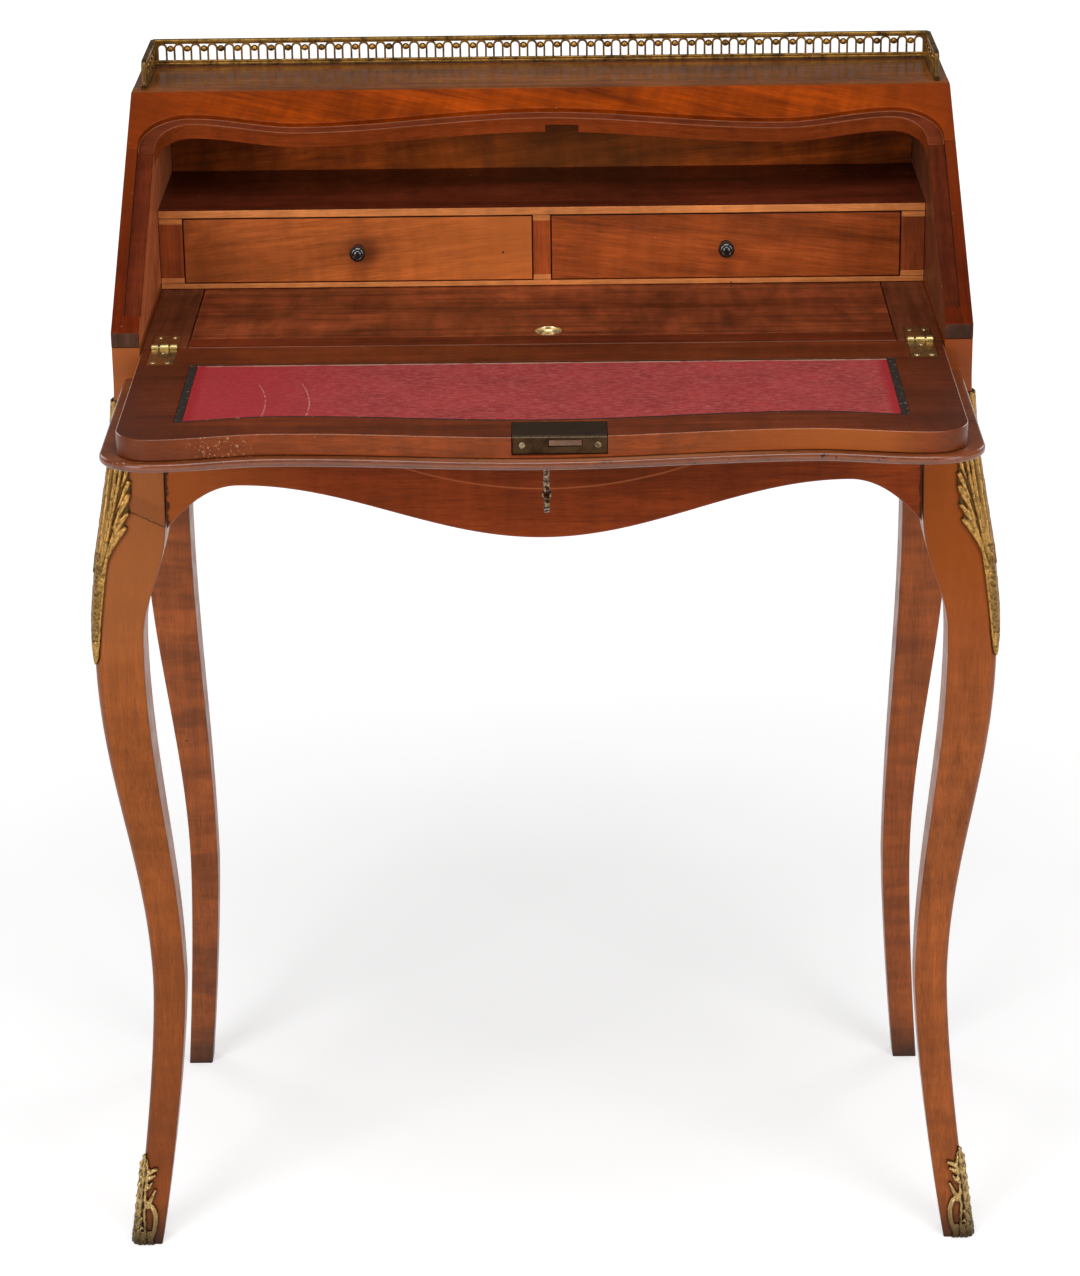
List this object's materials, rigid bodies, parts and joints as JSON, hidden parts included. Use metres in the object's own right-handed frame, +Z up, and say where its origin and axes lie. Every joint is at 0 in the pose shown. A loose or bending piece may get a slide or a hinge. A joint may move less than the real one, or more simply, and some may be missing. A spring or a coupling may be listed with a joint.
{
  "type": "fall-front writing desk",
  "caption": "Small slope-front writing desk on cabriole legs: a hinged fall with a cloth writing surface, little drawers, a sliding well cover, a lock and a pierced brass gallery.",
  "frame": {"origin": "on the floor, under the middle of the desk's box with the fall open", "axes": "+X to the right of a person facing the desk, +Y to the back, +Z up"},
  "size_m": [0.6904, 0.526, 0.9168],
  "materials": {
    "walnut": "french-polished walnut, reddish brown",
    "walnut_bright": "french-polished walnut, faded to orange brown",
    "walnut_dark": "dark polished walnut",
    "drawer_wood": "satin walnut",
    "pale_wood": "unfinished secondary wood",
    "brass": "aged brass",
    "gilt": "gilt cast brass",
    "lock_steel": "tarnished",
    "black_knob": "ebonised and polished",
    "red_cloth": "crimson woven cloth",
    "black_tape": "dark woven tape"
  },
  "bodies": {
    "desk": {"front_left_leg": "walnut", "front_right_leg": "walnut", "rear_left_leg": "walnut", "rear_right_leg": "walnut", "front_apron": "walnut", "left_apron": "walnut", "right_apron": "walnut", "floor_left_strip": "walnut", "floor_right_strip": "walnut", "floor_front_rail": "walnut", "back_panel": "walnut", "left_case_side": "walnut_bright", "right_case_side": "walnut_bright", "slant_top_rail": "walnut_bright", "top_board": "walnut_dark", "back_rail": "walnut_dark", "drawer_case_top": "walnut_dark", "drawer_case_bottom": "drawer_wood", "left_divider": "drawer_wood", "middle_divider": "drawer_wood", "right_divider": "drawer_wood", "well_bottom": "pale_wood", "gallery_back": "brass", "gallery_left": "brass", "gallery_right": "brass", "left_hinge_case_leaf": "brass", "right_hinge_case_leaf": "brass", "left_hinge_pin": "brass", "right_hinge_pin": "brass", "left_knee_mount": "gilt", "right_knee_mount": "gilt", "left_foot_mount": "gilt", "right_foot_mount": "gilt"},
    "fall": {"fall_board": "walnut", "fall_lip": "walnut", "writing_cloth": "red_cloth", "cloth_border": "black_tape", "left_hinge_fall_leaf": "brass", "right_hinge_fall_leaf": "brass", "lock_case": "lock_steel", "lock_selvedge": "brass"},
    "bolt": {"lock_bolt": "lock_steel"},
    "key": {"key": "brass"},
    "cover": {"well_cover": "walnut", "well_cover_pull": "brass"},
    "left_drawer": {"left_drawer_front": "drawer_wood", "left_drawer_left_side": "pale_wood", "left_drawer_right_side": "pale_wood", "left_drawer_back": "pale_wood", "left_drawer_bottom": "pale_wood", "left_drawer_knob": "black_knob"},
    "right_drawer": {"right_drawer_front": "drawer_wood", "right_drawer_left_side": "pale_wood", "right_drawer_right_side": "pale_wood", "right_drawer_back": "pale_wood", "right_drawer_bottom": "pale_wood", "right_drawer_knob": "black_knob"}
  },
  "joints": [
    {"name": "fall_hinge", "type": "hinge", "parent": "desk", "child": "fall", "pos_m": [0, -0.038, 0.748], "axis": [-1, 0, 0], "range_deg": [0, 148.55]},
    {"name": "left_drawer_slide", "type": "slide", "parent": "desk", "child": "left_drawer", "axis": [0, 1, 0], "range_m": [-0.085, 0]},
    {"name": "right_drawer_slide", "type": "slide", "parent": "desk", "child": "right_drawer", "axis": [0, 1, 0], "range_m": [-0.085, 0]},
    {"name": "cover_slide", "type": "slide", "parent": "desk", "child": "cover", "axis": [0, 1, 0], "range_m": [0, 0.11]},
    {"name": "key_turn", "type": "hinge", "parent": "fall", "child": "key", "pos_m": [0.003, -0.2328, 0.7385], "axis": [0, 0, 1], "range_deg": [0, 180]},
    {"name": "bolt_slide", "type": "slide", "parent": "fall", "child": "bolt", "axis": [0, -1, 0], "range_m": [0, 0.007]}
  ],
  "couplings": [
    {"joint": "bolt_slide", "follows": "key_turn", "m_per_rad": 0.002228}
  ]
}
